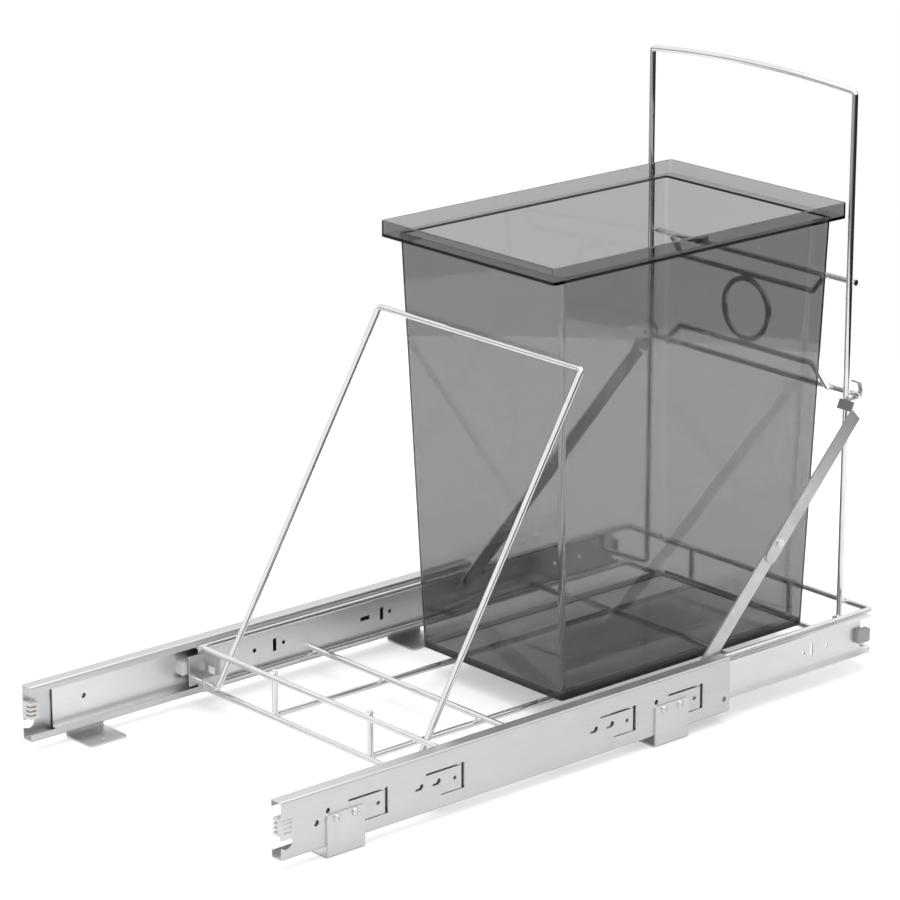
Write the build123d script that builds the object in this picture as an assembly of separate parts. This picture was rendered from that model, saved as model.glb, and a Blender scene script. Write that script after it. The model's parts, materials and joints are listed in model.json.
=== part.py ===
from build123d import *
import os
from math import atan2, hypot, tan

# Pull-out waste bin for a base cabinet: two telescopic rails on floor feet, a welded wire
# carriage with a front arch, two flat braces, a hinged rear bail and a loose tapered bin.
# Frame: +Z up from the cabinet floor, -Y towards the cabinet's door, X across, symmetric
# about X = 0. A "station" is a distance in millimetres from the outer rails' rear end,
# growing towards the door. A "height" is measured from the underside of the rails.
# Side functions build the +X side; the other side is its mirror image.

# Outer rails and feet
RAIL_LENGTH = 457.0
RAIL_HEIGHT = 46.1
RAIL_THICKNESS = 12.7  # from the outer rail's web to the drawer rail's web
TRACK_HALF = 160.8  # middle of the unit to the outer face of an outer rail
FLOOR_GAP = 9.0
FRONT_STATION = 643.0  # tips of the brace hooks, the foremost point
OUTER_SHEET = 1.1
OUTER_LIP = 6.0
OUTER_DEPTH = 12.2
OUTER_CORNER = 1.8
FOOT_SHEET = 1.5
FOOT_WIDTH = 36.0
FOOT_STATIONS = (41.5, 374.0)
FOOT_TAB_TOP = 25.0
FOOT_REACH = 34.0
FOOT_HOLE_R = 2.25
FOOT_HOLE_IN = 24.0  # screw hole, inwards from the rail's outer face
SCREW_OFFSETS = (9.5, 27.0)
SCREW_HEIGHT = 21.2
SCREW_HOLE_R = 2.1
WINDOW_STATIONS = (67.5, 142.6, 320.5, 393.6)
WINDOW_LENGTH = 33.4
WINDOW_LOW, WINDOW_HIGH = 10.8, 31.6
WINDOW_HOLE_R = 1.6
KEYHOLE_OFFSETS = (-9.0, 8.0)  # from a window's start
KEYHOLE_R = 2.1

# Telescoping members, balls and cages
MIDDLE_SHEET = 1.0
MIDDLE_FACE = TRACK_HALF - 2.4
MIDDLE_EDGE = 150.2
MIDDLE_TOP = 42.6
MIDDLE_START, MIDDLE_END = 26.5, 456.0
DRAWER_FACE = TRACK_HALF - RAIL_THICKNESS
DRAWER_EDGE = 154.5
DRAWER_TOP = 39.2
DRAWER_START, DRAWER_END = 164.0, 627.0
DRAWER_NOTCH = 7.0
STOP_X = (150.3, 157.3)
STOP_HEIGHTS = (18.5, 29.5)
STOP_SETBACK = 121.5  # stop block, from the middle rail's rear end
STOP_LENGTH = 14.0
LATCH_X = (149.3, 153.5)
LATCH_HEIGHTS = (16.6, 28.6)
LATCH_LENGTH = 14.0
BUMPER_INNER = 150.2
BUMPER_LENGTH = 8.0
BUMPER_HEIGHTS = (18.5, 32.0)
BUMPER_GROOVES = (20.6, 24.2, 27.8)
BUMPER_GROOVE = 1.8
BUMPER_PAD_LENGTH = 11.0
BUMPER_PAD_HEIGHTS = (16.0, 31.0)
BUMPER_PAD_OUTER = TRACK_HALF + 0.3  # the pad shows through a notch in the web
BALL_D = 2.3
BALL_HOLE_D = 2.6
BALLS_PER_ROW = 8
CAGE_SHEET = 0.6
OUTER_CAGE = dict(start=200.0, length=128.0, face=159.35, edge=152.5, top=44.1, ball_x=155.0)
INNER_CAGE = dict(start=283.0, length=54.0, face=156.9, edge=151.6, top=40.7, ball_x=153.2)

# Wire carriage
WIRE_R = 2.5
WIRE_BEND = 3.0
FRAME_HALF = DRAWER_FACE - WIRE_R  # side wires are welded along the drawer rails' webs
UPPER_HEIGHT = 40.0
LOWER_HEIGHT = 6.3
FRAME_BACK = 162.8
UPPER_REAR_STATION = 165.3
LOWER_REAR_STATION = 166.2
UPRIGHT_BACK = 170.3
ARCH_STATION = 630.0
ARCH_FRONT = ARCH_STATION + 2 * WIRE_R
LOWER_FRONT_STATION = 634.1
BASKET_HALF = 58.3
BASKET_BEND = 3.0
BASKET_TOP = 44.0
CROSS_STATIONS = (281.0, 525.0)
CROSS_HEIGHT = LOWER_HEIGHT + 2 * WIRE_R

# Front arch
ARCH_HALF = 115.7
ARCH_CORNER_HEIGHT = 470.0
ARCH_RISE = 5.2
ARCH_CORNER = 3.0
POST_SPLIT = 12.0  # the posts end and the top begins this far under the corners
ARCH_FOOT_HEIGHT = 15.4
ARCH_FOOT_END = (FRAME_HALF - 2 * WIRE_R, 599.0, 27.8)
RING_HEIGHT = 268.0
RING_R = 25.5
TIE_HEIGHT = 312.8
HOOK_WIRE_HEIGHT = 219.8
BAR_HALF = 76.5

# Braces
STRIP_WIDTH = 13.0
STRIP_THICKNESS = 1.8
BRACE_FOOT = (141.5, 439.0, 27.0)
BRACE_HEAD = (126.5, 628.5, 205.5)
BRACE_SPLIT = 0.56  # where the lower strip ends, as a share of the brace's length
BRACE_OVERLAP = 26.0
HOOK_SHEET = 1.6
HOOK_TAB_X = (113.5, 129.2)
HOOK_CURL_X = (119.0, 122.5)
HOOK_KNEE = (625.8, 216.2)  # where the tab ends and the curl under the hook wire begins

# Rear clips and bail
CLIP_SHEET = 1.5
CLIP_INNER = 129.0
CLIP_STATIONS = (153.5, 172.0)
CLIP_HEIGHTS = (9.2, 34.5)
CLIP_EAR_TOP = 20.5
CLIP_SLOT_X = (135.5, 144.0)
CLIP_SLOT_HEIGHTS = (17.0, 24.0)
BAIL_HALF = 119.25
BAIL_STATION = 160.3
BAIL_HEIGHT = 13.3
BAIL_TOP = (331.5, 298.7)
BAIL_CLEARANCE = 0.06
BAIL_END_GAP = 0.3

# Bin
BIN_WALL = 2.2
BIN_FLOOR = 2.4
BIN_TOP = 375.8
RIM = dict(start=318.0, end=639.6, half=102.0, lip=13.0)
RIM_CORNER = 3.5
RIM_EDGE = 0.6
BIN_BASE = dict(start=346.2, end=619.5, half=84.0, height=CROSS_HEIGHT + WIRE_R)
BIN_MOUTH = dict(start=332.1, end=628.6, half=95.5, height=BIN_TOP - RIM["lip"])
BIN_CORNER = 4.0
BIN_BASE_EDGE = 1.0
BIN_INNER_EDGE = 4.0
LUG_STATION = 478.0  # a lug inside the left lip
LUG_LENGTH = 10.0
LUG_DROP = (6.3, 2.3)  # bottom and top of the lug, below the bin's top
LUG_DEPTH = 3.5

MIDDLE_STATION = FRONT_STATION / 2


def along(station):
    """The Y of a station."""
    return MIDDLE_STATION - station


def up(height):
    """The Z of a height above the rails' underside."""
    return FLOOR_GAP + height


def spot(x, station, height):
    return Vector(x, along(station), up(height))


def block(x, station, height):
    """A box from three (low, high) pairs."""
    size = [high - low for low, high in (x, station, height)]
    middle = spot(*(sum(pair) / 2 for pair in (x, station, height)))
    return Pos(middle) * Box(*size)


def rod(start, end, radius):
    """A straight round bar between two points."""
    return extrude(Plane(start, z_dir=end - start) * Circle(radius), (end - start).length)


def hole_x(x, station, height, radius, depth=8.0):
    """A cutter along X."""
    return rod(spot(x - depth, station, height), spot(x + depth, station, height), radius)


def bent_wire(points, radii, radius=WIRE_R):
    """A round wire along straight runs joined by bends."""
    path = FilletPolyline(*points, radius=radii)
    return sweep(Plane(path @ 0, z_dir=path % 0) * Circle(radius), path=path)


def channel(outline, sheet, start, end, corner, side):
    """A bent sheet of constant thickness along the rails. Outline gives (x, height) points of one face."""
    points = [(x, up(height)) for x, height in outline]
    face_line = FilletPolyline(*points, radius=corner).wire()
    section = make_face(face_line.offset_2d(sheet, side=side, closed=True))
    return Pos(0, along(start), 0) * extrude(Plane.XZ * section, end - start)


def mirrored_height(height):
    return RAIL_HEIGHT - height


def outer_rail():
    inner = TRACK_HALF - OUTER_DEPTH
    outline = [
        (inner, RAIL_HEIGHT - OUTER_LIP),
        (inner, RAIL_HEIGHT),
        (TRACK_HALF, RAIL_HEIGHT),
        (TRACK_HALF, 0),
        (inner, 0),
        (inner, OUTER_LIP),
    ]
    rail = channel(outline, OUTER_SHEET, 0, RAIL_LENGTH, OUTER_CORNER, Side.RIGHT)
    web = (TRACK_HALF - 4, TRACK_HALF + 1)
    pad_low, pad_high = BUMPER_PAD_HEIGHTS
    rail -= block(web, (-1, BUMPER_PAD_LENGTH + 0.3), (pad_low - 0.3, pad_high + 0.3))
    rail -= block(web, (-1, 5), (9.4, 19))
    rail -= hole_x(TRACK_HALF, 5, 13.5, 5.5, 4)
    rail -= hole_x(TRACK_HALF, 32.7, SCREW_HEIGHT, 2.5, 4)
    for start in FOOT_STATIONS:
        rail -= hole_x(TRACK_HALF, start + 2, FOOT_TAB_TOP + 3.2, 2.1, 4)
        for offset in SCREW_OFFSETS:
            rail -= hole_x(TRACK_HALF, start + offset, SCREW_HEIGHT, SCREW_HOLE_R, 4)
    for start in WINDOW_STATIONS:
        rail -= window(start)
    for start in WINDOW_STATIONS[1:3]:
        for offset in KEYHOLE_OFFSETS:
            rail -= keyhole(start + offset, SCREW_HEIGHT + 1.4)
    rail -= hole_x(TRACK_HALF, RAIL_LENGTH - 6, 12, 2.2, 4)
    return rail


def window(start):
    """The three slits and the hole of a bayonet tab punched in the outer rail's web."""
    across = (TRACK_HALF - 3, TRACK_HALF + 3)
    end = start + WINDOW_LENGTH
    front = block(across, (end - 3.2, end), (WINDOW_LOW, WINDOW_HIGH))
    top = block(across, (start - 4.5, end), (WINDOW_HIGH - 1.7, WINDOW_HIGH))
    bottom = block(across, (start + 10, end), (WINDOW_LOW, WINDOW_LOW + 0.8))
    hole = hole_x(TRACK_HALF, end - 9.5, (WINDOW_LOW + WINDOW_HIGH) / 2, WINDOW_HOLE_R, 3)
    return front + top + bottom + hole


def keyhole(station, height):
    across = (TRACK_HALF - 3, TRACK_HALF + 3)
    slot = block(across, (station - 6, station), (height - 2.8, height - 0.7))
    return slot + hole_x(TRACK_HALF, station, height, KEYHOLE_R, 3)


def middle_rail():
    outline = [
        (MIDDLE_EDGE, MIDDLE_TOP),
        (MIDDLE_FACE, MIDDLE_TOP),
        (MIDDLE_FACE, mirrored_height(MIDDLE_TOP)),
        (MIDDLE_EDGE, mirrored_height(MIDDLE_TOP)),
    ]
    rail = channel(outline, MIDDLE_SHEET, MIDDLE_START, MIDDLE_END, 1.4, Side.RIGHT)
    for station in (MIDDLE_START + 30, MIDDLE_END - 13):
        rail -= hole_x(MIDDLE_FACE, station, RAIL_HEIGHT / 2, 2.2, 3)
    return rail


def middle_stop():
    """The block in the middle rail's channel that ends the drawer rail's travel."""
    start = MIDDLE_START + STOP_SETBACK
    body = block(STOP_X, (start, start + STOP_LENGTH), STOP_HEIGHTS)
    return fillet(body.edges().filter_by(Axis.X), 1.5)


def drawer_rail():
    outline = [
        (DRAWER_EDGE, DRAWER_TOP),
        (DRAWER_FACE, DRAWER_TOP),
        (DRAWER_FACE, mirrored_height(DRAWER_TOP)),
        (DRAWER_EDGE, mirrored_height(DRAWER_TOP)),
    ]
    rail = channel(outline, MIDDLE_SHEET, DRAWER_START, DRAWER_END, 1.4, Side.LEFT)
    across = (DRAWER_FACE - 2, DRAWER_FACE + 3)
    rail -= block(across, (DRAWER_END - DRAWER_NOTCH, DRAWER_END + 1), (11, RAIL_HEIGHT - 11))
    middle = RAIL_HEIGHT / 2
    for station, radius in ((221, 1.8), (251.4, 1.6), (365.2, 1.6), (553, 1.8), (580, 1.8)):
        rail -= hole_x(DRAWER_FACE, station, middle, radius, 3)
    for station in (242, 356.4, 562.4):
        rail -= block(across, (station - 1.8, station + 1.8), (middle - 5.4, middle + 5.4))
    rail -= block(across, (333.5, 343.3), (middle - 1.8, middle + 1.8))
    rail -= hole_x(DRAWER_FACE, BRACE_FOOT[1], BRACE_FOOT[2], 2.5, 3)
    return rail


def drawer_latch():
    """The plastic end piece in the drawer rail's front end."""
    front = DRAWER_END
    body = block(LATCH_X, (front - LATCH_LENGTH, front), LATCH_HEIGHTS)
    body = fillet(body.edges().filter_by(Axis.X), 2)
    groove = block((LATCH_X[0] - 1, LATCH_X[0] + 1.3), (front - 11, front - 3), (21, 24.2))
    return body - groove


def rear_bumper():
    """The ribbed plastic bumper in the outer rail's rear end."""
    body = block((BUMPER_INNER, TRACK_HALF - OUTER_SHEET), (0, BUMPER_LENGTH), BUMPER_HEIGHTS)
    groove_x = (BUMPER_INNER - 1, BUMPER_INNER + 5.8)
    pad_x = (TRACK_HALF - OUTER_SHEET - 1, BUMPER_PAD_OUTER)
    body += block(pad_x, (0, BUMPER_PAD_LENGTH), BUMPER_PAD_HEIGHTS)
    for height in BUMPER_GROOVES:
        body -= block(groove_x, (-1, BUMPER_LENGTH - 2), (height, height + BUMPER_GROOVE))
        pad_groove_x = (BUMPER_PAD_OUTER - 0.8, BUMPER_PAD_OUTER + 1)
        body -= block(pad_groove_x, (1.5, BUMPER_PAD_LENGTH - 1.5), (height, height + BUMPER_GROOVE))
    return body


def cage(spec):
    """A ball cage: a thin channel with a row of holes in each arm."""
    low = mirrored_height(spec["top"])
    outline = [
        (spec["edge"], spec["top"]),
        (spec["face"], spec["top"]),
        (spec["face"], low),
        (spec["edge"], low),
    ]
    end = spec["start"] + spec["length"]
    body = channel(outline, CAGE_SHEET, spec["start"], end, 0.8, Side.RIGHT)
    middle = RAIL_HEIGHT / 2
    web = (spec["face"] - 3, spec["face"] + 1)
    body -= block(web, (spec["start"] + 12, end - 12), (middle - 13, middle + 13))
    for place in ball_places(spec):
        body -= Pos(place) * Cylinder(BALL_HOLE_D / 2, 3)
    return body


def ball_places(spec):
    pitch = (spec["length"] - 12) / (BALLS_PER_ROW - 1)
    stations = [spec["start"] + 6 + pitch * i for i in range(BALLS_PER_ROW)]
    height = spec["top"] - CAGE_SHEET / 2
    return [spot(spec["ball_x"], s, h) for s in stations for h in (height, mirrored_height(height))]


def balls(spec):
    return Compound([Pos(place) * Sphere(BALL_D / 2) for place in ball_places(spec)])


def foot_bracket(start):
    """A bent foot: a tab on the rail's outer face and a flange turned inwards on the floor."""
    stations = (start, start + FOOT_WIDTH)
    tab = block((TRACK_HALF, TRACK_HALF + FOOT_SHEET), stations, (-FLOOR_GAP, FOOT_TAB_TOP))
    tab = fillet(tab.edges().filter_by(Axis.X).sort_by(Axis.Z)[-2:], 3)
    inner = TRACK_HALF + FOOT_SHEET - FOOT_REACH
    flange = block((inner, TRACK_HALF + FOOT_SHEET), stations, (-FLOOR_GAP, FOOT_SHEET - FLOOR_GAP))
    flange = fillet(flange.edges().filter_by(Axis.Z).sort_by(Axis.X)[:2], 3)
    body = tab + flange
    outside = body.edges().filter_by(Axis.Y).filter_by_position(
        Axis.X, TRACK_HALF + FOOT_SHEET - 0.01, TRACK_HALF + FOOT_SHEET + 0.01
    )
    body = fillet(outside.sort_by(Axis.Z)[0], 2.2)
    body -= Pos(TRACK_HALF - FOOT_HOLE_IN, along(start + FOOT_WIDTH / 2), 0) * Cylinder(FOOT_HOLE_R, 6)
    for offset in SCREW_OFFSETS:
        body -= hole_x(TRACK_HALF, start + offset, SCREW_HEIGHT, SCREW_HOLE_R, 4)
    return body


def foot_screws():
    """Pan-head screws that hold the feet to the rails' webs, one solid each."""
    screws = []
    for start in FOOT_STATIONS:
        for offset in SCREW_OFFSETS:
            screws.append(pan_screw(start + offset, SCREW_HEIGHT))
    return screws


def pan_screw(station, height):
    seat = TRACK_HALF + FOOT_SHEET
    head = rod(spot(seat, station, height), spot(seat + 1.8, station, height), 3.4)
    head = fillet(head.edges().sort_by(Axis.X)[-1], 1.1)
    inner = TRACK_HALF - OUTER_SHEET
    shank = rod(spot(inner, station, height), spot(seat, station, height), SCREW_HOLE_R - 0.1)
    slot = block((seat + 1.0, seat + 3), (station - 2.2, station + 2.2), (height - 0.4, height + 0.4))
    cross = block((seat + 1.0, seat + 3), (station - 0.4, station + 0.4), (height - 2.2, height + 2.2))
    return head + shank - slot - cross


def frame_wire(half, back, front, height):
    """Two long sides and the front of a carriage rectangle, bent from one wire."""
    points = [
        spot(-half, back, height),
        spot(-half, front, height),
        spot(half, front, height),
        spot(half, back, height),
    ]
    return bent_wire(points, WIRE_BEND)


def cross_wire(half, station, height):
    return rod(spot(-half, station, height), spot(half, station, height), WIRE_R)


def basket_wire():
    """A long wire that hangs from the upper frame: down, along the bottom and up again."""
    points = [
        spot(BASKET_HALF, UPRIGHT_BACK, BASKET_TOP),
        spot(BASKET_HALF, UPRIGHT_BACK, LOWER_HEIGHT),
        spot(BASKET_HALF, ARCH_STATION, LOWER_HEIGHT),
        spot(BASKET_HALF, ARCH_STATION, BASKET_TOP),
    ]
    return bent_wire(points, BASKET_BEND)


def arch_post():
    """A post of the arch, with the foot that bends outwards to the frame's side wire."""
    foot_x, foot_station, foot_height = ARCH_FOOT_END
    points = [
        spot(ARCH_HALF, ARCH_STATION, ARCH_CORNER_HEIGHT - POST_SPLIT),
        spot(ARCH_HALF, ARCH_STATION, ARCH_FOOT_HEIGHT),
        spot(foot_x, foot_station, foot_height),
        spot(foot_x, foot_station, UPPER_HEIGHT + 2),
    ]
    return bent_wire(points, WIRE_BEND)


def arch_top():
    """The gently arched top of the arch, with its two tight corners."""
    low = ARCH_CORNER_HEIGHT - POST_SPLIT
    apex = ARCH_CORNER_HEIGHT + 2 * ARCH_RISE
    points = [
        spot(-ARCH_HALF, ARCH_STATION, low),
        spot(-ARCH_HALF, ARCH_STATION, ARCH_CORNER_HEIGHT),
        spot(0, ARCH_STATION, apex),
        spot(ARCH_HALF, ARCH_STATION, ARCH_CORNER_HEIGHT),
        spot(ARCH_HALF, ARCH_STATION, low),
    ]
    slope = atan2(2 * ARCH_RISE, ARCH_HALF)
    top_radius = (hypot(ARCH_HALF, 2 * ARCH_RISE) - 2 * ARCH_CORNER) / tan(slope)
    return bent_wire(points, (ARCH_CORNER, top_radius, ARCH_CORNER))


def stub_bar(height, rise, spread):
    """A cross wire in the arch's plane whose two ends bend away to the tie beside it."""
    points = [
        spot(-BAR_HALF - spread, ARCH_STATION, height + rise),
        spot(-BAR_HALF, ARCH_STATION, height),
        spot(BAR_HALF, ARCH_STATION, height),
        spot(BAR_HALF + spread, ARCH_STATION, height + rise),
    ]
    return bent_wire(points, WIRE_BEND)


def ring():
    plane = Plane(spot(0, ARCH_STATION, RING_HEIGHT), x_dir=(1, 0, 0), z_dir=(0, 1, 0))
    return plane * Torus(RING_R, WIRE_R)


def strip_plane(share):
    """A plane on the brace's centre line: its X along the brace, its Z across the strip's thickness."""
    foot, head = spot(*BRACE_FOOT), spot(*BRACE_HEAD)
    direction = (head - foot).normalized()
    normal = direction.cross(Vector(1, 0, 0)).cross(direction).normalized()
    return Plane(foot + (head - foot) * share, x_dir=direction, z_dir=normal)


def brace_length():
    return (spot(*BRACE_HEAD) - spot(*BRACE_FOOT)).length


def strip(start_share, length, layer):
    """A flat strip with a round lower end, starting at a share of the brace's length."""
    plate = Pos(length / 2, 0) * Rectangle(length, STRIP_WIDTH)
    plate += Circle(STRIP_WIDTH / 2)
    body = extrude(plate, STRIP_THICKNESS / 2, both=True)
    return strip_plane(start_share) * Pos(0, 0, layer * STRIP_THICKNESS) * body


def brace_lower():
    length = brace_length() * BRACE_SPLIT
    body = strip(0, length, 0)
    body -= strip_plane(0) * Cylinder(2.6, 12)
    return body - strip_plane(BRACE_SPLIT) * Pos(-BRACE_OVERLAP / 2, 0, 0) * Cylinder(2.1, 12)


def brace_upper():
    """The upper strip, its inward tab and the hook that closes round the arch's hook wire."""
    total = brace_length()
    start_share = BRACE_SPLIT - BRACE_OVERLAP / total
    body = strip(start_share, total * (1 - start_share), 1)
    body -= strip_plane(BRACE_SPLIT) * Pos(-BRACE_OVERLAP / 2, 0, 0) * Cylinder(2.1, 12)
    return body + brace_hook()


def brace_hook():
    """A wide tab bent inwards off the strip's end, and a narrow curl that goes round the hook wire."""
    knee = (along(HOOK_KNEE[0]), up(HOOK_KNEE[1]))
    root = (along(BRACE_HEAD[1] - 6.2), up(BRACE_HEAD[2] + 3.1))
    front_y = along(FRONT_STATION) + HOOK_SHEET / 2
    curl = FilletPolyline(
        knee,
        (front_y + 3.0, up(HOOK_KNEE[1])),
        (front_y, up(HOOK_WIRE_HEIGHT + 1.5)),
        (front_y + 2.2, up(HOOK_WIRE_HEIGHT + 8.0)),
        (along(631.5), up(HOOK_WIRE_HEIGHT + 11.9)),
        radius=2.2,
    )
    return hook_sheet(Polyline(root, knee), HOOK_TAB_X) + hook_sheet(curl, HOOK_CURL_X)


def hook_sheet(line, across):
    """A sheet that follows a line of (Y, Z) points, between two X limits."""
    section = trace(Sketch() + [Plane.XY * edge for edge in line.edges()], HOOK_SHEET)
    body = extrude(section, across[1] - across[0])
    return Plane((across[0], 0, 0), x_dir=(0, 1, 0), z_dir=(1, 0, 0)) * body


def brace_rivets():
    """The rivet through the two strips and the pin at the brace's foot, one solid each."""
    overlap = strip_plane(BRACE_SPLIT) * Pos(-BRACE_OVERLAP / 2, 0, 0)
    low, high = -STRIP_THICKNESS / 2, STRIP_THICKNESS * 1.5
    shank = overlap * Pos(0, 0, (low + high) / 2) * Cylinder(2.0, high - low)
    heads = [overlap * Pos(0, 0, end) * Cylinder(3.6, 1.2) for end in (low - 0.6, high + 0.6)]
    pin_start = spot(BRACE_FOOT[0] - STRIP_THICKNESS - 1.2, *BRACE_FOOT[1:])
    pin_end = spot(DRAWER_FACE + MIDDLE_SHEET, *BRACE_FOOT[1:])
    pin = rod(pin_start, pin_end, 2.4)
    shoulder = rod(spot(BRACE_FOOT[0] + 1.6, *BRACE_FOOT[1:]), spot(DRAWER_FACE, *BRACE_FOOT[1:]), 4.0)
    pin_head = rod(pin_start - Vector(1.4, 0, 0), pin_start, 4.0)
    return [shank + heads[0] + heads[1], pin + shoulder + pin_head]


def rear_clip():
    """A small channel on the drawer rail's rear end: two ears carry a foot of the bail."""
    front = CLIP_STATIONS[1]
    inner_x = (CLIP_INNER, CLIP_INNER + CLIP_SHEET)
    inner_ear = block(inner_x, CLIP_STATIONS, (CLIP_HEIGHTS[0], CLIP_EAR_TOP))
    outer_ear = block((DRAWER_FACE - CLIP_SHEET, DRAWER_FACE), CLIP_STATIONS, CLIP_HEIGHTS)
    back = block((CLIP_INNER, DRAWER_FACE), (front - CLIP_SHEET, front), CLIP_HEIGHTS)
    body = inner_ear + outer_ear + back
    body -= block(CLIP_SLOT_X, (front - 3, front + 1), CLIP_SLOT_HEIGHTS)
    pivot = [spot(x, BAIL_STATION, BAIL_HEIGHT) for x in (BAIL_HALF, DRAWER_FACE + 4)]
    return body - rod(*pivot, WIRE_R + BAIL_CLEARANCE)


def bail():
    """The U-shaped rear wire, its two feet turned outwards into the clips."""
    foot_end = DRAWER_FACE - BAIL_END_GAP
    top_station, top_height = BAIL_TOP
    half_points = [
        spot(foot_end, BAIL_STATION, BAIL_HEIGHT),
        spot(BAIL_HALF, BAIL_STATION, BAIL_HEIGHT),
        spot(BAIL_HALF, top_station, top_height),
    ]
    other = [Vector(-p.X, p.Y, p.Z) for p in reversed(half_points)]
    return bent_wire(half_points + other, WIRE_BEND)


def bin_section(spec, inset, corner):
    """A level rounded rectangle of the bin, moved in by an inset."""
    size = (2 * (spec["half"] - inset), spec["end"] - spec["start"] - 2 * inset)
    middle = spot(0, (spec["start"] + spec["end"]) / 2, spec["height"])
    return Plane(middle) * RectangleRounded(*size, corner - inset)


def bin_level(height):
    """The bin's outer limits at a height between its base and its ledge."""
    share = (height - BIN_BASE["height"]) / (BIN_MOUTH["height"] - BIN_BASE["height"])
    return {key: low + share * (BIN_MOUTH[key] - low) for key, low in BIN_BASE.items()}


def bin_inside():
    """The space in the bin: a bevelled bottom, the tapered walls and the mouth through the ledge."""
    floor_top = BIN_BASE["height"] + BIN_FLOOR
    bevel_inset = BIN_WALL + BIN_INNER_EDGE
    bottom = bin_section(bin_level(floor_top), bevel_inset, BIN_CORNER + BIN_INNER_EDGE)
    bevel_top = bin_section(bin_level(floor_top + BIN_INNER_EDGE), BIN_WALL, BIN_CORNER)
    mouth = bin_section(BIN_MOUTH, BIN_WALL, BIN_CORNER)
    return loft([bottom, bevel_top]) + loft([bevel_top, mouth]) + extrude(mouth, BIN_WALL)


def bin_body():
    """A tapered open bin with a ledge and an upright lip round its mouth."""
    ledge = dict(RIM, height=BIN_TOP - RIM["lip"])
    rim = extrude(bin_section(ledge, 0, RIM_CORNER), RIM["lip"])
    rim = fillet(rim.faces().sort_by(Axis.Z)[-1].edges(), RIM_EDGE)
    rim -= Pos(0, 0, BIN_WALL) * extrude(bin_section(ledge, BIN_WALL, RIM_CORNER), RIM["lip"])
    outside = loft([bin_section(spec, 0, BIN_CORNER) for spec in (BIN_BASE, BIN_MOUTH)])
    shell = fillet(outside.faces().sort_by(Axis.Z)[0].edges(), BIN_BASE_EDGE) + rim - bin_inside()
    lug_stations = (LUG_STATION - LUG_LENGTH / 2, LUG_STATION + LUG_LENGTH / 2)
    lug_heights = [BIN_TOP - drop for drop in LUG_DROP]
    lip_inside = RIM["half"] - BIN_WALL
    return shell + block((-lip_inside - 1, LUG_DEPTH - lip_inside), lug_stations, lug_heights)


def write(name, *solids):
    """Writes one node."""
    shape = solids[0] if len(solids) == 1 else Compound(list(solids))
    export_step(shape, f"parts/{name}.step")


def write_pair(name, *solids):
    """Writes a right node at +X and its mirror image, the left node."""
    for side, shapes in (("right", solids), ("left", [mirror(s, about=Plane.YZ) for s in solids])):
        write(f"{name}_{side}", *shapes)


os.makedirs("parts", exist_ok=True)

write_pair("outer_rail", outer_rail())
write_pair("rear_bumper", rear_bumper())
for place, station in zip(("rear", "front"), FOOT_STATIONS):
    write_pair(f"foot_{place}", foot_bracket(station))
screws_right = foot_screws()
write("foot_screws", *screws_right, *[mirror(s, about=Plane.YZ) for s in screws_right])
write_pair("outer_ball_cage", cage(OUTER_CAGE))
write_pair("outer_balls", balls(OUTER_CAGE))
write_pair("middle_rail", middle_rail())
write_pair("middle_stop", middle_stop())
write_pair("inner_ball_cage", cage(INNER_CAGE))
write_pair("inner_balls", balls(INNER_CAGE))
write_pair("drawer_rail", drawer_rail())
write_pair("drawer_latch", drawer_latch())
write_pair("rear_clip", rear_clip())

frame_end = FRAME_HALF - WIRE_R
write("upper_frame_wire", frame_wire(FRAME_HALF, FRAME_BACK, ARCH_FRONT, UPPER_HEIGHT))
write("lower_frame_wire", frame_wire(FRAME_HALF, FRAME_BACK, LOWER_FRONT_STATION, LOWER_HEIGHT))
write("upper_rear_wire", cross_wire(frame_end, UPPER_REAR_STATION, UPPER_HEIGHT))
write("lower_rear_wire", cross_wire(frame_end, LOWER_REAR_STATION, LOWER_HEIGHT))
write_pair("basket_wire", basket_wire())
for place, station in zip(("rear", "front"), CROSS_STATIONS):
    write(f"cross_wire_{place}", cross_wire(DRAWER_FACE, station, CROSS_HEIGHT))

write_pair("arch_post", arch_post())
write("arch_top", arch_top())
write("arch_tie", rod(spot(-118.5, ARCH_FRONT, TIE_HEIGHT), spot(118.5, ARCH_FRONT, TIE_HEIGHT), WIRE_R))
hook_ends = [spot(side * 127.0, ARCH_FRONT, HOOK_WIRE_HEIGHT) for side in (-1, 1)]
write("hook_wire", rod(*hook_ends, WIRE_R))
bar_offset = RING_R + 2 * WIRE_R
write("ring_bar_upper", stub_bar(RING_HEIGHT + bar_offset, TIE_HEIGHT - RING_HEIGHT - bar_offset, 11.0))
write("ring_bar_lower", stub_bar(RING_HEIGHT - bar_offset, HOOK_WIRE_HEIGHT - RING_HEIGHT + bar_offset, 19.4))
write("ring", ring())

write_pair("brace_lower", brace_lower())
write_pair("brace_upper", brace_upper())
rivets = brace_rivets()
write("brace_rivets", *rivets, *[mirror(s, about=Plane.YZ) for s in rivets])
write("bail", bail())
write("bin", bin_body())
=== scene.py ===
# %% [markdown]
# This lesson dresses a pull-out waste bin for a kitchen cabinet. The unit is a carriage of chrome-plated
# wire on two zinc-plated ball slides, with an arch and two flat braces at the front, a wire bail at the
# rear and a smoke-grey translucent bin standing in it. The shapes come from an engineering model, which is
# loaded first and never moved. What is made here is what such a model leaves out: the finish of every
# surface, the weld nuggets between the wires, and the light.

# %% Load the frame
import bmesh
import bpy
import json
import math
import random
from mathutils import Matrix, Vector


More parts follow.
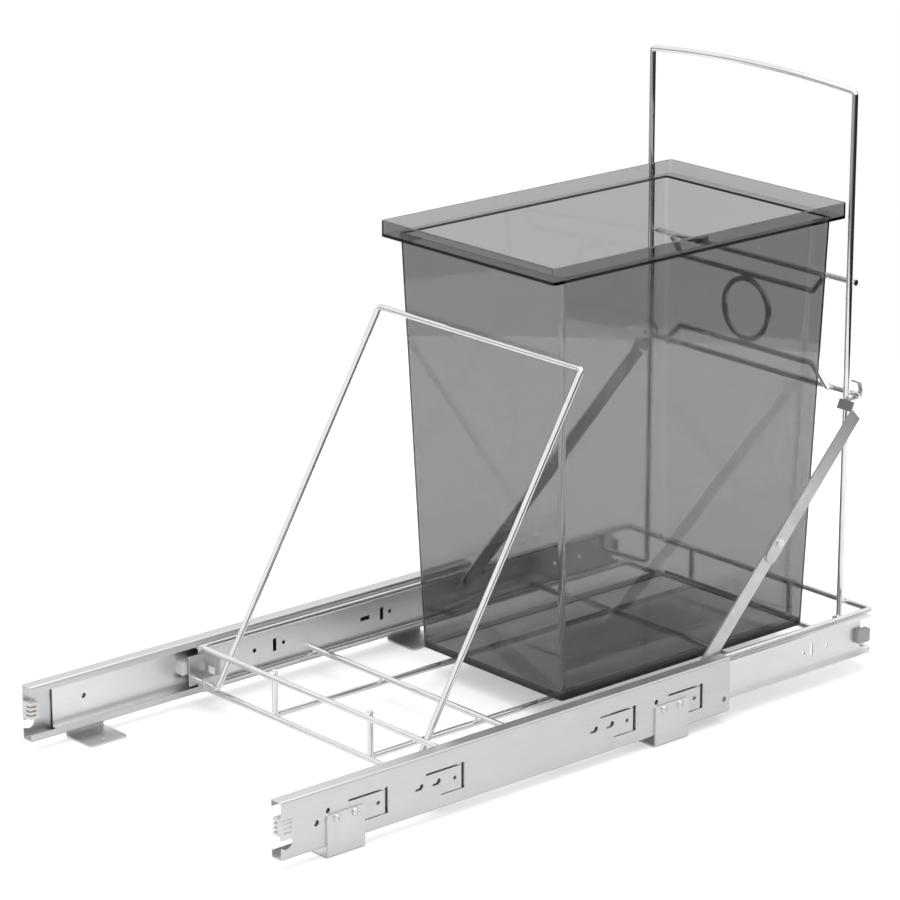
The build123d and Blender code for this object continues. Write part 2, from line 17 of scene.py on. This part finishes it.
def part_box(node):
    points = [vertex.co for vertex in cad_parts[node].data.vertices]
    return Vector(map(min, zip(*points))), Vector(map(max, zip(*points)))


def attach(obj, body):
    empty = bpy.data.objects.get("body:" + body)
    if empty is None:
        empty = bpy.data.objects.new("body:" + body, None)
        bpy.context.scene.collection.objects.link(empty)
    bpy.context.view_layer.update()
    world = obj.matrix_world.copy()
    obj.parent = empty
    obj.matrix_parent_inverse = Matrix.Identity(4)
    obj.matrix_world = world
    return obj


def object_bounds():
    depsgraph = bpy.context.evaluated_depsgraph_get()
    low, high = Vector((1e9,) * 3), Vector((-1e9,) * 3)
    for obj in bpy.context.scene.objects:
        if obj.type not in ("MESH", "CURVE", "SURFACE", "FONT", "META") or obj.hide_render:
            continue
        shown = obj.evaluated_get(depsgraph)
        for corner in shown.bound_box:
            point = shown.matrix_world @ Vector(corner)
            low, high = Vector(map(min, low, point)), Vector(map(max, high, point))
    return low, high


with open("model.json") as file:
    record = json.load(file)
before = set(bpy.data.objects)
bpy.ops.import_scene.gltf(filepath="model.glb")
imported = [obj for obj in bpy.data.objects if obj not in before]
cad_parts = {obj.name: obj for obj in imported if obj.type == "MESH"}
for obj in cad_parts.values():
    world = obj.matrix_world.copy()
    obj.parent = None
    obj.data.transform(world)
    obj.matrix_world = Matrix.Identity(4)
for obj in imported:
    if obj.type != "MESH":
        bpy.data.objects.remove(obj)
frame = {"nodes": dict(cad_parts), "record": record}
cad_low, cad_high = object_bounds()
print("the unit measures", [round(side, 3) for side in cad_high - cad_low], "m")

# %% [markdown]
# Product pictures are taken from far away with a long lens, because a short one makes the near rail look
# larger than the far one. So the camera stands about three metres off, at the unit's rear left, and looks
# a little down. The lens is chosen for the framing after the distance is.

# %% The camera
CAMERA_PLACE = Vector((-2.24479, 1.98505, 1.15828))
CAMERA_TARGET = Vector((0.05713, -0.03102, 0.19718))
LENS_MM = 159.48
SENSOR_MM = 36.0
FARTHEST_SEEN = 60.0


def link(obj):
    bpy.context.scene.collection.objects.link(obj)
    return obj


def aim(obj, place, target):
    """Stands a camera or a lamp at a place and turns it towards a target."""
    obj.location = place
    obj.rotation_euler = (Vector(target) - Vector(place)).to_track_quat("-Z", "Y").to_euler()


camera_data = bpy.data.cameras.new("camera")
camera_data.lens = LENS_MM
camera_data.sensor_width = SENSOR_MM
camera_data.clip_end = FARTHEST_SEEN
camera = link(bpy.data.objects.new("camera", camera_data))
aim(camera, CAMERA_PLACE, CAMERA_TARGET)
bpy.context.scene.camera = camera
bpy.context.scene.view_settings.view_transform = "Standard"
print("the camera stands", round((CAMERA_TARGET - CAMERA_PLACE).length, 2), "m from what it looks at")

# %% [markdown]
# Light and finishes are both built from shader nodes. A few small helpers keep that readable: one joins or
# sets a socket, one adds a node with its settings, and the rest are the nodes that turn up everywhere.

# %% Helpers for nodes
def wire_up(tree, node, socket, source):
    """Joins an output to one input of a node, or sets that input to a plain value."""
    if isinstance(source, bpy.types.NodeSocket):
        tree.links.new(source, node.inputs[socket])
    else:
        node.inputs[socket].default_value = source


def wire_all(tree, node, **inputs):
    """Several inputs at once: spaces in a name are underscores, and in0, in1 and so on stand for places."""
    for name, source in inputs.items():
        by_place = name.startswith("in") and name[2:].isdigit()
        wire_up(tree, node, int(name[2:]) if by_place else name.replace("_", " "), source)


def add(tree, kind, settings=None, **inputs):
    node = tree.nodes.new(kind)
    for name, value in (settings or {}).items():
        setattr(node, name, value)
    wire_all(tree, node, **inputs)
    return node


def maths(tree, operation, *values):
    inputs = {f"in{i}": value for i, value in enumerate(values)}
    return add(tree, "ShaderNodeMath", {"operation": operation}, **inputs).outputs[0]


def dot(tree, first, second):
    """How far two directions agree, from -1 to 1."""
    node = add(tree, "ShaderNodeVectorMath", {"operation": "DOT_PRODUCT"}, in0=first, in1=second)
    return node.outputs["Value"]


def ranged(tree, value, low, high, to_low=0.0, to_high=1.0, smooth=False):
    """A value moved from one range to another and kept inside it."""
    settings = {"interpolation_type": "SMOOTHSTEP"} if smooth else {}
    ends = dict(From_Min=low, From_Max=high, To_Min=to_low, To_Max=to_high)
    return add(tree, "ShaderNodeMapRange", settings, Value=value, **ends).outputs["Result"]


def looked_at(tree):
    """1 for what is seen directly or through the bin, and 0 for what only lights or is mirrored."""
    path = add(tree, "ShaderNodeLightPath").outputs
    return maths(tree, "MAXIMUM", path["Is Camera Ray"], path["Is Transmission Ray"])


def grey(value, warm=0.0):
    return (value * (1 + warm), value, value * (1 - warm), 1)


def new_material(name):
    material = bpy.data.materials.new(name)
    material.use_nodes = True
    return material, material.node_tree, material.node_tree.nodes["Principled BSDF"]


# %% [markdown]
# Chrome shows nothing but its surroundings, so the surroundings are half of its look. A studio shoots it
# on a white sheet of limited size, under a large white ceiling, with dark room beyond the sheet: wire near
# the sheet comes out pale, and wire higher up picks up the dark room as a streak. The same is built here.
# The floor is a white disc. What is seen of it directly or through the bin glows a little, as an acrylic
# table lit from below does, so that the floor under the bin isn't dull. The room is the world's
# background, pale overhead and dark at eye level, and darker on one side than on the other. What the
# camera sees directly, or through the bin, stays white.

# %% The white sheet on the studio floor
SHEET_RADIUS = 1.1
SHEET_SIDES = 96
SHEET_CLEARANCE = 0.0002
SHEET_WHITE = 0.8
SHEET_GLOW = 0.32
SHEET_ROUGHNESS = 0.9
SHEET_GLOSS = 0.1


def white_paper():
    material, tree, shader = new_material("white paper")
    wire_all(
        tree,
        shader,
        Base_Color=grey(SHEET_WHITE),
        Roughness=SHEET_ROUGHNESS,
        Specular_IOR_Level=SHEET_GLOSS,
        Emission_Color=grey(1.0),
        Emission_Strength=maths(tree, "MULTIPLY", looked_at(tree), SHEET_GLOW),
    )
    return material


def white_sheet():
    shape = bmesh.new()
    bmesh.ops.create_circle(shape, cap_ends=True, segments=SHEET_SIDES, radius=SHEET_RADIUS)
    mesh = bpy.data.meshes.new("studio_floor")
    shape.to_mesh(mesh)
    shape.free()
    mesh.materials.append(white_paper())
    sheet = link(bpy.data.objects.new("studio_floor", mesh))
    sheet.location.z = cad_low.z - SHEET_CLEARANCE


white_sheet()
print("the sheet is", 2 * SHEET_RADIUS, "m across")

# %% The room
CEILING = 1.05
EYE_LEVEL_DARK = 0.03
EYE_LEVEL_LIGHT = 0.42
LIGHT_SIDE = (0.66, 0.75, 0.0)
DARK_TO_LIGHT = dict(low=-0.35, high=0.75)
EYE_LEVEL_TO_CEILING = dict(low=0.05, high=0.3)


def room_light():
    world = bpy.data.worlds.new("room")
    bpy.context.scene.world = world
    world.use_nodes = True
    tree = world.node_tree
    direction = add(tree, "ShaderNodeTexCoord").outputs["Generated"]
    height = add(tree, "ShaderNodeSeparateXYZ", Vector=direction).outputs["Z"]
    shades = dict(to_low=EYE_LEVEL_DARK, to_high=EYE_LEVEL_LIGHT)
    eye_level = ranged(tree, dot(tree, direction, LIGHT_SIDE), **DARK_TO_LIGHT, **shades, smooth=True)
    overhead = ranged(tree, height, **EYE_LEVEL_TO_CEILING, smooth=True)
    rise = maths(tree, "SUBTRACT", CEILING, eye_level)
    pale = maths(tree, "MULTIPLY_ADD", overhead, rise, eye_level)
    mix = add(tree, "ShaderNodeMix", {"data_type": "FLOAT"}, in0=looked_at(tree), in2=pale, in3=1.0)
    wire_all(tree, tree.nodes["Background"], Color=grey(1.0), Strength=mix.outputs[0])


room_light()
print("the ceiling is", round(CEILING / EYE_LEVEL_DARK), "times as bright as the room's dark side")

# %% The softboxes
SOFTBOXES = {
    "overhead_softbox": dict(place=(0.1, 0.0, 2.2), width=2.4, depth=2.4, watts=22),
    "side_softbox": dict(place=(-1.6, 0.4, 1.7), width=1.0, depth=1.4, watts=7),
}


def softbox(name, place, width, depth, watts):
    lamp = bpy.data.lights.new(name, "AREA")
    lamp.shape = "RECTANGLE"
    lamp.size = width
    lamp.size_y = depth
    lamp.energy = watts
    box = link(bpy.data.objects.new(name, lamp))
    aim(box, place, (cad_low + cad_high) / 2)
    box.visible_camera = False
    box.visible_transmission = False


for name, values in SOFTBOXES.items():
    softbox(name, **values)
print(len(SOFTBOXES), "softboxes hang over the sheet")

# %% [markdown]
# Four effects turn up on several finishes, so each is a node group, built once and given its own values in
# each material. Rolled steel carries fine lines that run along the strip. Handling leaves soft smudges
# that change the gloss more than the colour. Sheared and moulded edges lose their finish first, and dust
# settles on what faces up. A group puts out only masks and heights; the shaders stay in the materials.

# %% Building a node group
NUMBER = "NodeSocketFloat"
VECTOR = "NodeSocketVector"


def new_group(name, inputs, outputs):
    tree = bpy.data.node_groups.new(name, "ShaderNodeTree")
    for socket, kind, value in inputs:
        tree.interface.new_socket(socket, in_out="INPUT", socket_type=kind).default_value = value
    for socket in outputs:
        tree.interface.new_socket(socket, in_out="OUTPUT", socket_type=NUMBER)
    taken = tree.nodes.new("NodeGroupInput").outputs
    given = tree.nodes.new("NodeGroupOutput")
    return tree, taken, given


def own_place(tree):
    """Where a point is on its piece, in metres."""
    return add(tree, "ShaderNodeTexCoord").outputs["Object"]


def noise(tree, place, **inputs):
    return add(tree, "ShaderNodeTexNoise", Vector=place, **inputs).outputs["Fac"]


# %% Rolling lines
CLOUDS_PER_METRE = 24.0


def rolling_lines():
    tree, taken, given = new_group(
        "rolling lines",
        [("Stretch", VECTOR, (1.0, 0.04, 1.0)), ("Fineness", NUMBER, 900.0)],
        ["Lines", "Clouds"],
    )
    multiply = {"operation": "MULTIPLY"}
    along = add(tree, "ShaderNodeVectorMath", multiply, in0=own_place(tree), in1=taken["Stretch"]).outputs[0]
    lines = noise(tree, along, Scale=taken["Fineness"], Detail=4.0, Roughness=0.6)
    clouds = noise(tree, along, Scale=CLOUDS_PER_METRE, Detail=3.0)
    wire_all(
        tree,
        given,
        Lines=ranged(tree, lines, low=0.3, high=0.7),
        Clouds=ranged(tree, clouds, low=0.35, high=0.65),
    )
    return tree


ROLLING = rolling_lines()
print(ROLLING.name, "puts out lines and clouds")

# %% Smudges
def smudges():
    tree, taken, given = new_group(
        "smudges",
        [("Size", NUMBER, 0.03), ("Low", NUMBER, 0.05), ("High", NUMBER, 0.15)],
        ["Roughness", "Mask"],
    )
    scale = maths(tree, "DIVIDE", 1.0, taken["Size"])
    blots = noise(tree, own_place(tree), Scale=scale, Detail=5.0, Roughness=0.62, Distortion=0.6)
    mask = ranged(tree, blots, low=0.4, high=0.68, smooth=True)
    span = maths(tree, "SUBTRACT", taken["High"], taken["Low"])
    wire_all(tree, given, Roughness=maths(tree, "MULTIPLY_ADD", mask, span, taken["Low"]), Mask=mask)
    return tree


SMUDGES = smudges()
print(SMUDGES.name, "put out a roughness and a mask")

# %% Worn edges
BEVEL_SAMPLES = 4
EDGE_BEGINS = 0.995
EDGE_FULL = 0.85


def worn_edges():
    tree, taken, given = new_group(
        "worn edges",
        [("Width", NUMBER, 0.0006), ("Patchiness", NUMBER, 180.0)],
        ["Mask"],
    )
    rounded = add(tree, "ShaderNodeBevel", {"samples": BEVEL_SAMPLES}, Radius=taken["Width"])
    flat = add(tree, "ShaderNodeNewGeometry")
    agree = dot(tree, rounded.outputs["Normal"], flat.outputs["Normal"])
    edge = ranged(tree, agree, low=EDGE_BEGINS, high=EDGE_FULL)
    rubbing = noise(tree, own_place(tree), Scale=taken["Patchiness"], Detail=3.0)
    patchy = ranged(tree, rubbing, low=0.35, high=0.6)
    wire_all(tree, given, Mask=maths(tree, "MULTIPLY", edge, patchy))
    return tree


WORN = worn_edges()
print(WORN.name, "put out a mask")

# %% Dust
SPECKS_PER_METRE = 420.0


def dust():
    tree, taken, given = new_group("dust", [("Amount", NUMBER, 0.2)], ["Mask"])
    normal = add(tree, "ShaderNodeNewGeometry").outputs["Normal"]
    upward = add(tree, "ShaderNodeSeparateXYZ", Vector=normal).outputs["Z"]
    level = ranged(tree, upward, low=0.5, high=0.95)
    specks = noise(tree, own_place(tree), Scale=SPECKS_PER_METRE, Detail=6.0, Roughness=0.75)
    settled = maths(tree, "MULTIPLY", level, ranged(tree, specks, low=0.45, high=0.75))
    wire_all(tree, given, Mask=maths(tree, "MULTIPLY", settled, taken["Amount"]))
    return tree


DUST = dust()
print(DUST.name, "puts out a mask")

# %% Helpers for the materials
FINE_RELIEF = 0.0001


def placed(tree, group, **inputs):
    """A group set in a material, with its own values."""
    return add(tree, "ShaderNodeGroup", {"node_tree": group}, **inputs).outputs


def mixed(tree, share, first, second):
    """The first colour where the share is 0 and the second where it is 1."""
    node = add(tree, "ShaderNodeMix", {"data_type": "RGBA"}, in0=share, in6=first, in7=second)
    return node.outputs[2]


def bumped(tree, height, strength, distance=FINE_RELIEF):
    node = add(tree, "ShaderNodeBump", Height=height, Strength=strength, Distance=distance)
    return node.outputs["Normal"]


# %% [markdown]
# Bright chrome is nickel under a very thin layer of chromium on drawn wire. The wire's drawing lines are
# almost buffed away, so they are a very faint bump. The plating itself is a mirror whose gloss changes a
# little where it has been handled. Chromium is slightly darker and colder than silver.

# %% Chrome-plated wire
CHROME_GREY = 0.80
CHROME_HANDLED = 0.93 * CHROME_GREY
CHROME_DUST = grey(0.7, 0.01)


def bright_chrome():
    material, tree, shader = new_material("bright chrome")
    hand = placed(tree, SMUDGES, Size=0.02, Low=0.035, High=0.13)
    drawn = placed(tree, ROLLING, Stretch=(1.0, 1.0, 1.0), Fineness=650.0)
    dull = placed(tree, DUST, Amount=0.18)["Mask"]
    tint = mixed(tree, hand["Mask"], grey(CHROME_GREY, -0.006), grey(CHROME_HANDLED, 0.004))
    wire_all(
        tree,
        shader,
        Base_Color=mixed(tree, dull, tint, CHROME_DUST),
        Metallic=1.0,
        Roughness=maths(tree, "MULTIPLY_ADD", dull, 0.4, hand["Roughness"]),
        Normal=bumped(tree, drawn["Lines"], 0.02),
    )
    return material


CHROME = bright_chrome()
print(CHROME.name, "reflects", round(100 * CHROME_GREY), "percent")

# %% [markdown]
# The slides, feet and braces are cold-rolled steel strip with a bright zinc plate. It is a soft, even
# metal with fine lines that smear its reflections. They run along the rails. The braces slant, so their
# lines are drawn out over the whole face of the strip instead. Cut edges show brighter steel, and soft
# clouds of tone come from the plating bath.

# %% Zinc-plated steel
ALONG_RAIL = (1.0, 0.03, 1.0)
ALONG_FOOT = (1.0, 0.05, 0.6)
OVER_STRIP = (1.0, 0.15, 0.15)
ALL_ROUND = (1.0, 1.0, 1.0)
CLOUD_DARK, CLOUD_LIGHT = 0.97, 1.02
LINE_DARK, LINE_SHARE = 0.86, 0.3
CUT_EDGE_LIGHT, BRIGHTEST = 1.18, 0.95
ZINC_DUST = grey(0.6, 0.01)


def zinc(name, tone, low, high, stretch, lines=0.08):
    """A finish of one tone, with a roughness from low to high and lines of the given depth."""
    material, tree, shader = new_material(name)
    roll = placed(tree, ROLLING, Stretch=stretch, Fineness=900.0)
    hand = placed(tree, SMUDGES, Size=0.045, Low=low, High=high)
    edge = placed(tree, WORN, Width=0.0005)["Mask"]
    dull = placed(tree, DUST, Amount=0.35)["Mask"]
    dark_cloud, light_cloud = grey(tone * CLOUD_DARK, -0.012), grey(tone * CLOUD_LIGHT, -0.004)
    plate = mixed(tree, roll["Clouds"], dark_cloud, light_cloud)
    faint = maths(tree, "MULTIPLY", roll["Lines"], LINE_SHARE)
    lined = mixed(tree, faint, plate, grey(tone * LINE_DARK))
    worn = mixed(tree, edge, lined, grey(min(BRIGHTEST, tone * CUT_EDGE_LIGHT)))
    rough = maths(tree, "MULTIPLY_ADD", roll["Lines"], 0.08, hand["Roughness"])
    wire_all(
        tree,
        shader,
        Base_Color=mixed(tree, dull, worn, ZINC_DUST),
        Metallic=1.0,
        Roughness=maths(tree, "MULTIPLY_ADD", dull, 0.3, rough),
        Normal=bumped(tree, roll["Lines"], lines),
    )
    return material


# The three rails are the same zinc plate. The middle and drawer rails get lighter tones than the outer rail,
# and that difference is painted light, not a different finish.
ZINC_OUTER = zinc("zinc plate, outer rail", 0.66, 0.3, 0.36, ALONG_RAIL)
ZINC_MIDDLE_PAINTED_LIGHTER = zinc("zinc plate, middle rail", 0.86, 0.3, 0.36, ALONG_RAIL)
ZINC_DRAWER_PAINTED_LIGHTER = zinc("zinc plate, drawer rail", 0.8, 0.3, 0.36, ALONG_RAIL)
ZINC_FOOT = zinc("zinc plate, foot", 0.7, 0.3, 0.45, ALONG_FOOT)
ZINC_STRIP = zinc("zinc plate, brace strip", 0.62, 0.24, 0.36, OVER_STRIP)
CAGE_STEEL = zinc("pressed cage steel", 0.5, 0.3, 0.45, ALONG_RAIL)
SCREW_STEEL = zinc("screw head", 0.74, 0.2, 0.34, ALL_ROUND, lines=0.04)
print("seven zinc and steel finishes are ready")

# %% [markdown]
# The bin is moulded in a clear plastic with a smoke-grey dye. Such a plastic takes its darkness from its
# thickness: a wall looks pale, two walls look darker, and an edge, where the eye looks along the sheet, is
# nearly black. Painting the surface can't do that, so the surface is clear and the grey is in the volume,
# as an absorption for each metre of plastic that the light crosses. Flow in the mould leaves faint waves.
# Lamps don't shine through glass in a path tracer unless it is told so: the surface's alpha drops for
# shadow rays.

# %% Smoke-grey plastic
WALL = 0.0022
WALL_PASSES = 0.49
SHADE_PASSES = 0.96
SMOKE_IOR = 1.5
WAVES_PER_METRE = 9.0
WAVE_HEIGHT = 0.002
SMOKE_DUST = grey(0.86)


def smoke_plastic():
    material, tree, shader = new_material("smoke-grey plastic")
    hand = placed(tree, SMUDGES, Size=0.06, Low=0.012, High=0.05)
    dull = placed(tree, DUST, Amount=0.12)["Mask"]
    shadow_ray = add(tree, "ShaderNodeLightPath").outputs["Is Shadow Ray"]
    waves = noise(tree, own_place(tree), Scale=WAVES_PER_METRE, Detail=2.0, Distortion=0.8)
    wire_all(
        tree,
        shader,
        Base_Color=mixed(tree, dull, grey(1.0), SMOKE_DUST),
        Roughness=maths(tree, "MULTIPLY_ADD", dull, 0.2, hand["Roughness"]),
        Transmission_Weight=1.0,
        IOR=SMOKE_IOR,
        Alpha=maths(tree, "MULTIPLY_ADD", shadow_ray, -SHADE_PASSES, 1.0),
        Normal=bumped(tree, waves, 0.12, WAVE_HEIGHT),
    )
    density = -math.log(WALL_PASSES) / WALL
    smoke = add(tree, "ShaderNodeVolumeAbsorption", Color=grey(0.0), Density=density)
    wire_all(tree, tree.nodes["Material Output"], Volume=smoke.outputs["Volume"])
    return material


SMOKE = smoke_plastic()
print("a wall of", WALL * 1000, "mm passes", WALL_PASSES, "of the light")

# %% [markdown]
# The bumpers and stops of the slides are moulded in a light-grey plastic, and the end pieces in a darker
# one. Both have the fine, even texture of a spark-eroded mould, and edges that have rubbed shiny.

# %% Moulded plastics
GRAINS_PER_METRE = 2600.0
PLASTIC_DUST = grey(0.5, 0.02)


def moulded(name, tone, rubbed, rough):
    """A plastic of one tone, with another where its edges are rubbed."""
    material, tree, shader = new_material(name)
    grain = noise(tree, own_place(tree), Scale=GRAINS_PER_METRE, Detail=3.0, Roughness=0.7)
    hand = placed(tree, SMUDGES, Size=0.012, Low=rough, High=rough + 0.15)
    edge = placed(tree, WORN, Width=0.0006)["Mask"]
    dull = placed(tree, DUST, Amount=0.4)["Mask"]
    body = mixed(tree, hand["Mask"], grey(tone, 0.01), grey(tone * 0.86, 0.02))
    worn = mixed(tree, edge, body, grey(rubbed))
    wire_all(
        tree,
        shader,
        Base_Color=mixed(tree, dull, worn, PLASTIC_DUST),
        Roughness=maths(tree, "MULTIPLY_ADD", edge, -0.15, hand["Roughness"]),
        Normal=bumped(tree, grain, 0.25),
    )
    return material


PALE_PLASTIC = moulded("light-grey plastic", 0.68, 0.8, 0.4)
MID_PLASTIC = moulded("mid-grey plastic", 0.34, 0.42, 0.45)
print(PALE_PLASTIC.name, "and", MID_PLASTIC.name, "are ready")

# %% [markdown]
# Each node of the engineering model now gets its finish. The record of the unit says which slot a node
# takes, and a few nodes differ from their slot: the middle and drawer rails, whose zinc is painted lighter,
# the feet and the latches.

# %% Dressing the frame
FINISHES = {
    "zinc_steel": ZINC_OUTER,
    "zinc_strip": ZINC_STRIP,
    "chrome_wire": CHROME,
    "smoke_plastic": SMOKE,
    "grey_plastic": PALE_PLASTIC,
    "cage_steel": CAGE_STEEL,
    "bearing_steel": CHROME,
    "screw_steel": SCREW_STEEL,
}
NAMED = {
    "middle_rail": ZINC_MIDDLE_PAINTED_LIGHTER,
    "drawer_rail": ZINC_DRAWER_PAINTED_LIGHTER,
    "foot_front": ZINC_FOOT,
    "foot_rear": ZINC_FOOT,
    "drawer_latch": MID_PLASTIC,
}


def finish_of(node, slot):
    for start, material in NAMED.items():
        if node.startswith(start):
            return material
    return FINISHES[slot]


for part in frame["record"]["subparts"]:
    materials = frame["nodes"][part["node"]].data.materials
    materials.clear()
    materials.append(finish_of(part["node"], part["material_slot"]))

# %% [markdown]
# A frame like this is spot-welded: two wires are pressed together between electrodes, and a little metal
# squeezes out round the joint. Each weld here is a small nugget, flattened against both wires and
# slightly uneven, so that crossings don't look like two cylinders pushed through each other.

# %% Weld nuggets
WIRE = 0.0025  # the wire's radius
NUGGET = Vector((1.107, 0.943, 0.9)) * WIRE  # half its length, width and thickness
LUMPS = 0.08
DENTS = 0.05
WAIST = 0.35
SEED_STEPS = 1e5


def nugget(shape, place, long_axis, cross_axis):
    """Adds one squeezed bead between two wires to a mesh: long along one, wide along the other."""
    turn = Matrix((long_axis, cross_axis, long_axis.cross(cross_axis))).transposed()
    dice = random.Random(round(sum(place) * SEED_STEPS))
    phase = [dice.uniform(0, math.tau) for _ in range(3)]
    for vert in bmesh.ops.create_icosphere(shape, subdivisions=3, radius=1.0)["verts"]:
        x, y, z = vert.co
        lump = 1 + LUMPS * math.sin(4 * x + phase[0]) * math.sin(3 * y + phase[1])
        lump += DENTS * math.sin(7 * z + phase[2])
        lump *= 1 - WAIST * (1 - z * z) * (x * x - 0.5 * y * y)
        vert.co = turn @ (vert.co * NUGGET * lump) + place


# %% [markdown]
# The welds sit where the wires of the frame meet, and those places are read from the frame itself: the
# middle of one wire's box gives its height, and the middle of the other its place along the unit.

# %% Where the welds are
X_AXIS = Vector((1, 0, 0))
Y_AXIS = Vector((0, 1, 0))
Z_AXIS = Vector((0, 0, 1))
OUTWARD = {"left": -1, "right": 1}
BAR_END_SETBACK = 1.6 * WIRE
upper_low, upper_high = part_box("upper_frame_wire")
lower_low, lower_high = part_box("lower_frame_wire")
upper_z = (upper_low.z + upper_high.z) / 2
lower_z = (lower_low.z + lower_high.z) / 2


def middle(node):
    low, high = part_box(node)
    return (low + high) / 2


def basket_welds(side):
    """Where a basket wire's two ends meet the upper and the lower frame."""
    low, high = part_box(f"basket_wire_{side}")
    x = (low.x + high.x) / 2
    rear, front = high.y - WIRE, low.y + WIRE
    found = [
        Vector((x, (rear + middle("upper_rear_wire").y) / 2, upper_z)),
        Vector((x, (front + upper_low.y + WIRE) / 2, upper_z)),
        Vector((x, (rear + middle("lower_rear_wire").y) / 2, lower_z)),
        Vector((x, (front + lower_low.y + WIRE) / 2, lower_z)),
    ]
    return [(place, X_AXIS, Z_AXIS) for place in found]


def cross_welds(side):
    """Where the two cross wires meet a basket wire and the lower frame."""
    basket_x = middle(f"basket_wire_{side}").x
    frame_x = OUTWARD[side] * (lower_high.x - WIRE)
    crosses = [middle("cross_wire_rear"), middle("cross_wire_front")]
    found = [Vector((x, cross.y, cross.z - WIRE)) for cross in crosses for x in (basket_x, frame_x)]
    return [(place, Y_AXIS, X_AXIS) for place in found]


def post_welds(side):
    """Where an arch post meets the tie, the hook wire and the frame, and where its foot ends."""
    low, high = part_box(f"arch_post_{side}")
    sides = [low.x + WIRE, high.x - WIRE]
    post_x, foot_x = sides if side == "right" else sides[::-1]
    ties = [middle("arch_tie"), middle("hook_wire")]
    found = [Vector((post_x, tie.y + WIRE, tie.z)) for tie in ties]
    found.append(Vector((post_x, upper_low.y + 2 * WIRE, upper_z)))
    frame_x = OUTWARD[side] * (upper_high.x - WIRE)
    foot = Vector(((foot_x + frame_x) / 2, high.y - WIRE, upper_z))
    return [(place, Z_AXIS, X_AXIS) for place in found] + [(foot, Y_AXIS, Z_AXIS)]


def bar_welds(side):
    """Where the two bars that hold the ring end, on the tie and on the hook wire."""
    found = []
    for bar, wire in (("ring_bar_upper", "arch_tie"), ("ring_bar_lower", "hook_wire")):
        low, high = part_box(bar)
        end_x = (high.x if side == "right" else low.x) - OUTWARD[side] * BAR_END_SETBACK
        tie = middle(wire)
        found.append((Vector((end_x, tie.y + WIRE, tie.z)), X_AXIS, Z_AXIS))
    return found


def ring_welds():
    """Where the ring meets its bars, at its top and its bottom."""
    low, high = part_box("ring")
    return [(Vector((0, middle("ring").y, z)), X_AXIS, Z_AXIS) for z in (low.z, high.z)]


WELDS = []
for side in OUTWARD:
    WELDS += basket_welds(side) + cross_welds(side) + post_welds(side) + bar_welds(side)
WELDS += ring_welds()
print(len(WELDS), "welds hold the carriage together")

# %% Making the welds
def carriage_welds():
    shape = bmesh.new()
    for place, long_axis, cross_axis in WELDS:
        nugget(shape, place, long_axis, cross_axis)
    mesh = bpy.data.meshes.new("carriage_welds")
    shape.to_mesh(mesh)
    shape.free()
    for face in mesh.polygons:
        face.use_smooth = True
    mesh.materials.append(CHROME)
    return link(bpy.data.objects.new("carriage_welds", mesh))


welds = carriage_welds()
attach(welds, "carriage")
print("the welds have", len(welds.data.polygons), "faces and ride on the carriage")
